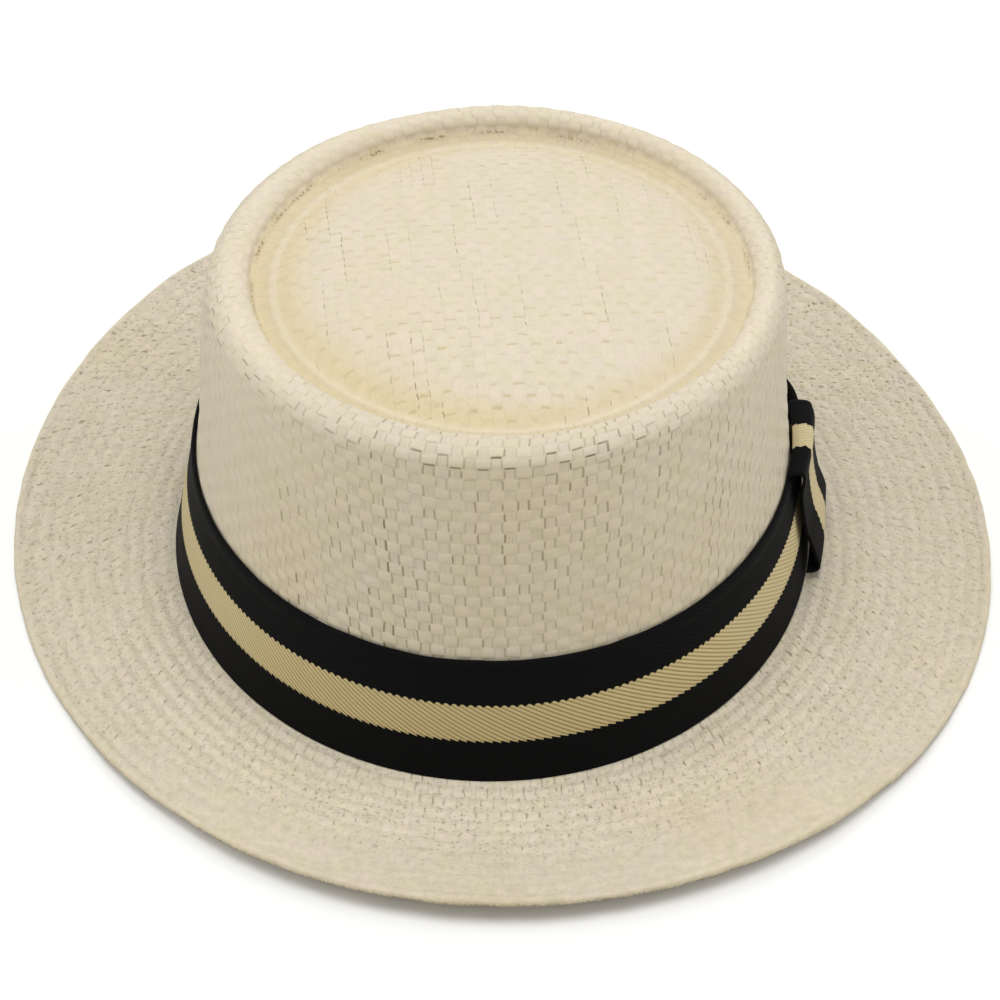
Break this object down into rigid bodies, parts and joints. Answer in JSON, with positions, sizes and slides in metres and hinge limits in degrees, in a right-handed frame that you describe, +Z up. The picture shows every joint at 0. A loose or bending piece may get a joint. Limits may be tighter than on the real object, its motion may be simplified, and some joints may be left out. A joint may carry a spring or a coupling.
{
  "type": "straw porkpie hat",
  "caption": "Woven straw porkpie hat with a grooved flat crown, a brim turned up at the back and a striped ribbon band with a wrap on one side.",
  "frame": {"origin": "on the surface the hat rests on, under the middle of the brim's outline", "axes": "+Z up through the crown, -Y out of the front of the hat, +X out of the wearer's left side, where the ribbon's wrap is"},
  "size_m": [0.2666, 0.3038, 0.0862],
  "materials": {
    "straw": "plain weave of flat cream paper straw, satin",
    "ribbon": "matte black grosgrain with a beige twill stripe along its middle"
  },
  "bodies": {
    "root": {"crown": "straw", "brim": "straw", "hatband": "ribbon", "band_wrap": "ribbon"}
  },
  "joints": []
}
